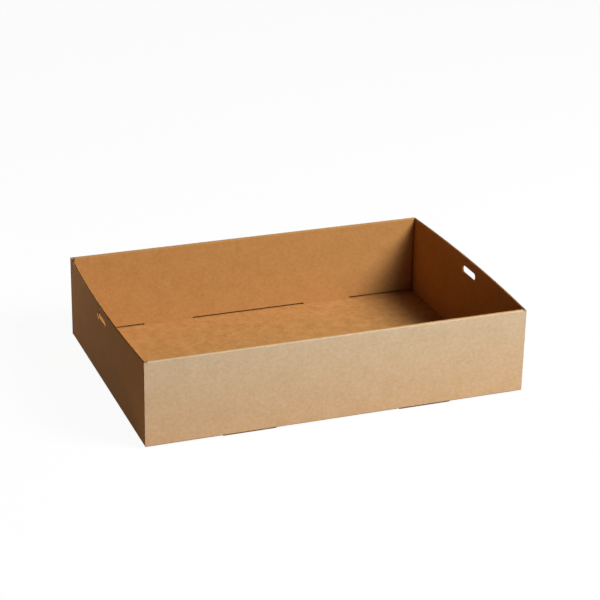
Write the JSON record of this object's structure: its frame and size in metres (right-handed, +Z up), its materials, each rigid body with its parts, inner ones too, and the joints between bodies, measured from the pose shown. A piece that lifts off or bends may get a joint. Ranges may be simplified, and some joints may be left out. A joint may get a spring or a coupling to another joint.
{
  "type": "cardboard tray box",
  "caption": "Open rectangular kraft board tray, folded from one sheet, with rolled long walls locked by tabs in the base and a finger slot in each short wall, for carrying and serving food.",
  "frame": {"origin": "middle of the footprint, on the level of the tab ends that the tray stands on", "axes": "+X along the long walls, +Y along the short walls, +Z up out of the open top"},
  "size_m": [0.367, 0.252, 0.0819],
  "materials": {
    "kraft_board": "matt uncoated brown kraft liner"
  },
  "bodies": {
    "root": {"tray": "kraft_board"}
  },
  "joints": []
}
